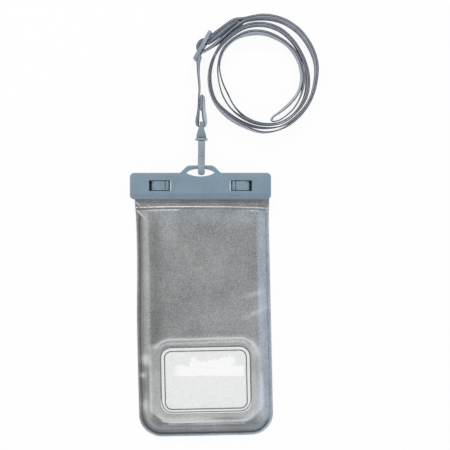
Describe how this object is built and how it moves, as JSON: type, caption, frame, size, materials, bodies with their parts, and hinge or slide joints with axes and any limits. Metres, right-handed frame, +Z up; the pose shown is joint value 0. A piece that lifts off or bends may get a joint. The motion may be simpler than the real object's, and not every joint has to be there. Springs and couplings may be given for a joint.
{
  "type": "waterproof phone pouch",
  "caption": "Flat waterproof phone pouch with a latched clamp bar, shimmering front film, clear window and a neck strap on a swivel snap hook, lying on its back.",
  "frame": {"origin": "on the ground under the middle of the pouch's box, without its strap", "axes": "+Y from the film's bottom end towards the clamp bar and its strap, +Z up out of the front face, +X to the right seen from the front"},
  "size_m": [0.1538, 0.346, 0.0143],
  "materials": {
    "clamp_plastic": "satin moulded",
    "latch_plastic": "satin moulded",
    "hook_plastic": "satin moulded",
    "glitter_film": "glossy film with fine glitter",
    "clear_film": "clear glossy film",
    "seal_rubber": "soft matt",
    "webbing": "woven"
  },
  "bodies": {
    "pouch": {"front_clamp_bar": "clamp_plastic", "rear_clamp_bar": "clamp_plastic", "seal_strip": "seal_rubber", "front_film": "glitter_film", "rear_film": "clear_film", "window_pane": "clear_film", "swivel_eye": "hook_plastic", "strap_slider": "hook_plastic", "strap_through": "webbing", "strap_sewn_end": "webbing", "strap_coil": "webbing"},
    "left_latch": {"latch_left": "latch_plastic"},
    "right_latch": {"latch_right": "latch_plastic"},
    "hook": {"hook_body": "hook_plastic"},
    "gate": {"hook_gate": "hook_plastic"}
  },
  "joints": [
    {"name": "left_latch_slide", "type": "slide", "parent": "pouch", "child": "left_latch", "axis": [-1, 0, 0], "range_m": [0, 0.0015], "stiffness_N_per_m": 150},
    {"name": "right_latch_slide", "type": "slide", "parent": "pouch", "child": "right_latch", "axis": [1, 0, 0], "range_m": [0, 0.0015], "stiffness_N_per_m": 150},
    {"name": "hook_swivel", "type": "hinge", "parent": "pouch", "child": "hook", "pos_m": [-0.00021, 0.132, 0.0072], "axis": [0, 1, 0], "range_deg": [-22, 22]},
    {"name": "gate_hinge", "type": "hinge", "parent": "hook", "child": "gate", "pos_m": [-0.00021, 0.1297, 0.01215], "axis": [1, 0, 0], "range_deg": [0, 28], "stiffness_Nm_per_rad": 0.02}
  ]
}
